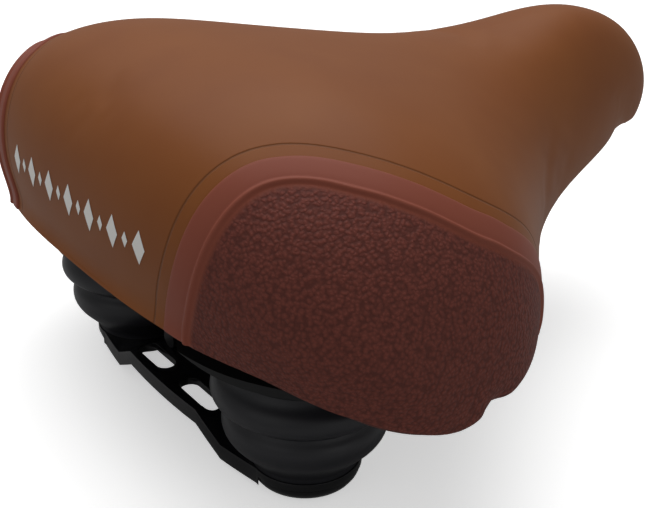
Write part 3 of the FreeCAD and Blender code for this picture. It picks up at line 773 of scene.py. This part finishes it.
def grained_leather():
    """Reddish brown synthetic leather with a pebbled grain where the grain attribute says so; painted shade
    darkens the grain's valleys and painted light brightens the pebble tops.
    """
    material, tree, shader = new_material("grained_red_brown_synthetic_leather", **{
        "Specular IOR Level": 0.14})
    place = add_node(tree, "ShaderNodeTexCoord")
    grain = add_node(tree, "ShaderNodeAttribute", attribute_name="grain")
    warp = add_node(tree, "ShaderNodeTexNoise", {"Vector": in_mm(tree, place, 1.6), "Scale": 1.0,
                                                 "Detail": 2.0})
    bent = add_node(tree, "ShaderNodeVectorMath", {0: in_mm(tree, place, 1.05), 1: warp.outputs["Color"]},
                    operation="ADD")
    pebbles = add_node(tree, "ShaderNodeTexVoronoi", {"Vector": bent.outputs[0], "Scale": 1.0,
                                                      "Smoothness": 0.5}, feature="SMOOTH_F1")
    hills = add_node(tree, "ShaderNodeMapRange", {"Value": pebbles.outputs["Distance"], "From Min": 0.15,
                                                  "From Max": 0.75, "To Min": 1.0, "To Max": 0.0})
    height = add_node(tree, "ShaderNodeMath", {0: hills.outputs[0], 1: grain.outputs["Fac"]},
                      operation="MULTIPLY")
    # painted shade and light: the colour follows the grain's relief, darker 582E27 in the valleys and
    # lighter 763E34 on the pebble tops
    painted_grain_shade = add_node(tree, "ShaderNodeMix", {"Factor": height.outputs[0], "A": hex_colour("582E27"),
                                             "B": hex_colour("763E34")}, data_type="RGBA")
    colour = add_node(tree, "ShaderNodeMix", {"Factor": grain.outputs["Fac"], "A": hex_colour("854737"),
                                              "B": painted_grain_shade.outputs["Result"]}, data_type="RGBA")
    tree.links.new(colour.outputs["Result"], shader.inputs["Base Color"])
    rough = add_node(tree, "ShaderNodeMapRange", {"Value": grain.outputs["Fac"], "To Min": 0.5,
                                                  "To Max": 0.62})
    tree.links.new(rough.outputs[0], shader.inputs["Roughness"])
    bump = add_node(tree, "ShaderNodeBump", {"Height": height.outputs[0], "Strength": 0.8,
                                             "Distance": 0.35 * MM})
    tree.links.new(bump.outputs["Normal"], shader.inputs["Normal"])
    return material


# %% Plain materials
COAT_ROUGHNESS = 0.06


def plain(name, code, roughness, metallic=0.0, specular=0.5, coat=0.0, grain_mm=None, depth_mm=0.0):
    """A one-colour material, with a fine noise relief if grain_mm is given."""
    material, tree, shader = new_material(name, **{
        "Base Color": hex_colour(code), "Roughness": roughness, "Metallic": metallic,
        "Specular IOR Level": specular, "Coat Weight": coat, "Coat Roughness": COAT_ROUGHNESS})
    if grain_mm:
        place = add_node(tree, "ShaderNodeTexCoord")
        noise = add_node(tree, "ShaderNodeTexNoise", {"Vector": in_mm(tree, place, grain_mm), "Scale": 1.0,
                                                      "Detail": 3.0})
        bump = add_node(tree, "ShaderNodeBump", {"Height": noise.outputs["Fac"], "Strength": 0.6,
                                                 "Distance": depth_mm * MM})
        tree.links.new(bump.outputs["Normal"], shader.inputs["Normal"])
    return material


leather = smooth_leather()
grained = grained_leather()
ink = plain("white_screen_ink", "E6E4E0", 0.55)
rubber = plain("black_moulded_rubber", "1E1E22", 0.42, specular=0.4, grain_mm=1.2, depth_mm=0.05)
enamel = plain("gloss_black_stove_enamel", "101012", 0.2, specular=0.4, coat=0.15, grain_mm=3.0,
               depth_mm=0.012)
satin_enamel = plain("satin_black_enamel", "0E0E10", 0.34, specular=0.35, grain_mm=1.5, depth_mm=0.02)
polypropylene = plain("black_polypropylene", "121213", 0.6, specular=0.25, grain_mm=0.8, depth_mm=0.04)
nylon = plain("black_moulded_nylon", "0E0E10", 0.45, specular=0.2, grain_mm=1.0, depth_mm=0.02)
zinc = plain("zinc_plated_steel", "B9BAB8", 0.32, metallic=1.0, grain_mm=0.6, depth_mm=0.02)
polyurethane = plain("grey_polyurethane_foam", "3A3A3A", 0.9, grain_mm=1.0, depth_mm=0.2)

# %% [markdown]
# ## Putting it together
# New pieces ride on the body that their CAD node belongs to and replace that node; the ornament only rides.

# %% New pieces on their bodies
finished = [(cover, "cover_skin", "seat_top", leather, "cover", "smooth_skin"),
            (patches[0], "corner_patch_skin_right", "seat_top", grained, "corner_patch_right", "patch_skin"),
            (patches[1], "corner_patch_skin_left", "seat_top", grained, "corner_patch_left", "patch_skin"),
            (ornament, "printed_ornament", "seat_top", ink, None, None),
            (springs[0], "rubber_spring_right", "underframe", rubber, "elastomer_right", "rubber"),
            (springs[1], "rubber_spring_left", "underframe", rubber, "elastomer_left", "rubber"),
            (cups[0], "spring_cup_right", "underframe", enamel, "elastomer_cup_right", "black_paint"),
            (cups[1], "spring_cup_left", "underframe", enamel, "elastomer_cup_left", "black_paint"),
            (plate, "pressed_bridge_plate", "underframe", enamel, "bridge_plate", "black_paint")]
for piece, name, body, material, node, slot_name in finished:
    settle(piece, name, body)
    piece.data.materials.append(material)
    if node:
        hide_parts(node)
for piece in (cover, *patches):
    pick(piece)
    bpy.ops.object.shade_smooth()
for spring, side in zip(springs, (1, -1)):
    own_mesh(spring)

# %% Better materials on the CAD pieces
CAD_FINISH = {"foam_pad": polyurethane, "base_shell": polypropylene, "hem_staples": zinc,
              "seat_collar_right": nylon, "seat_collar_left": nylon, "upper_screws": zinc,
              "upper_inserts": zinc, "lower_inserts": zinc, "cup_washers": zinc, "cup_bolts": zinc,
              "rails": satin_enamel, "rail_welds": satin_enamel, "nose_block": nylon, "nose_cap": nylon,
              "nose_screws": zinc}
for node, material in CAD_FINISH.items():
    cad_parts[node].data.materials.clear()
    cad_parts[node].data.materials.append(material)

# %% [markdown]
# ## Camera, light and floor
# The saddle is seen from behind its right rear corner, a little from above. The camera is put on
# a line through a point near the saddle's middle, given by its azimuth and elevation, and its
# focal length follows from how large the saddle should be in the frame. The floor shows the
# camera a paler colour than it reflects, so that the low parts of the saddle stay dark.

# %% Camera
CAMERA_AZIMUTH, CAMERA_ELEVATION, CAMERA_ROLL = math.radians(53.4), math.radians(25.3), math.radians(0.4)
CAMERA_TARGET = Vector((4.5, -21.4, 27.1)) * MM
CAMERA_DISTANCE = 371.5 * MM
CAMERA_LENS = 58.5
SENSOR_WIDTH = 36.0
NEAR_CLIP = 10 * MM

back = Vector((math.sin(CAMERA_AZIMUTH) * math.cos(CAMERA_ELEVATION),
               -math.cos(CAMERA_AZIMUTH) * math.cos(CAMERA_ELEVATION), math.sin(CAMERA_ELEVATION)))
right = Vector((math.cos(CAMERA_AZIMUTH), math.sin(CAMERA_AZIMUTH), 0))
up = back.cross(right)
turned_right = right * math.cos(CAMERA_ROLL) + up * math.sin(CAMERA_ROLL)
clear_selection()
bpy.ops.object.camera_add(location=CAMERA_TARGET + back * CAMERA_DISTANCE)
camera = bpy.context.object
camera.rotation_euler = Matrix((turned_right, back.cross(turned_right), back)).transposed().to_euler()
camera.data.lens = CAMERA_LENS
camera.data.sensor_width = SENSOR_WIDTH
camera.data.clip_start = NEAR_CLIP
bpy.context.scene.camera = camera

# %% Floor, light and world
FLOOR_GAP = 0.2 * MM
FLOOR_SIZE = 6.0
FLOOR_GLOW = 0.5
WORLD_STRENGTH = 0.3
bpy.ops.mesh.primitive_plane_add(size=FLOOR_SIZE, location=(0, 0, cad_box[0][2] - FLOOR_GAP))
floor = bpy.context.object
floor.name = "studio_floor"
floor_paint, floor_tree, floor_shader = new_material("matt_white_paint", **{
    "Roughness": 0.85, "Specular IOR Level": 0.1, "Emission Color": hex_colour("FFFFFF")})
rays = add_node(floor_tree, "ShaderNodeLightPath")
floor_colour = add_node(floor_tree, "ShaderNodeMix", {"Factor": rays.outputs["Is Camera Ray"],
                                                      "A": hex_colour("BEBEBE"), "B": hex_colour("FAFAFA")},
                        data_type="RGBA")
glow = add_node(floor_tree, "ShaderNodeMath", {0: rays.outputs["Is Camera Ray"], 1: FLOOR_GLOW},
                operation="MULTIPLY")
floor_tree.links.new(floor_colour.outputs["Result"], floor_shader.inputs["Base Color"])
floor_tree.links.new(glow.outputs[0], floor_shader.inputs["Emission Strength"])
floor.data.materials.append(floor_paint)


def softbox(name, place, aim, size, power):
    """A rectangular area light that shines from place towards aim."""
    bpy.ops.object.light_add(type="AREA", location=place)
    lamp = bpy.context.object
    lamp.name = name
    lamp.data.shape = "RECTANGLE"
    lamp.data.size, lamp.data.size_y = size
    lamp.data.energy = power
    lamp.rotation_euler = (Vector(aim) - Vector(place)).to_track_quat("-Z", "Y").to_euler()


softbox("key_softbox", (-0.3, 0.1, 1.05), (0, 0, 0.05), (1.3, 1.3), 11.0)
softbox("rear_fill", (0.2, -1.1, 0.55), (0, -0.05, 0.03), (0.9, 0.6), 0.55)
softbox("side_fill", (1.2, 0.1, 0.45), (0, 0, 0.03), (0.8, 0.6), 0.8)
world = bpy.data.worlds.new("studio")
world.use_nodes = True
world.node_tree.nodes["Background"].inputs["Color"].default_value = (1.0, 1.0, 1.0, 1.0)
world.node_tree.nodes["Background"].inputs["Strength"].default_value = WORLD_STRENGTH
bpy.context.scene.world = world
bpy.context.scene.view_settings.view_transform = "Standard"
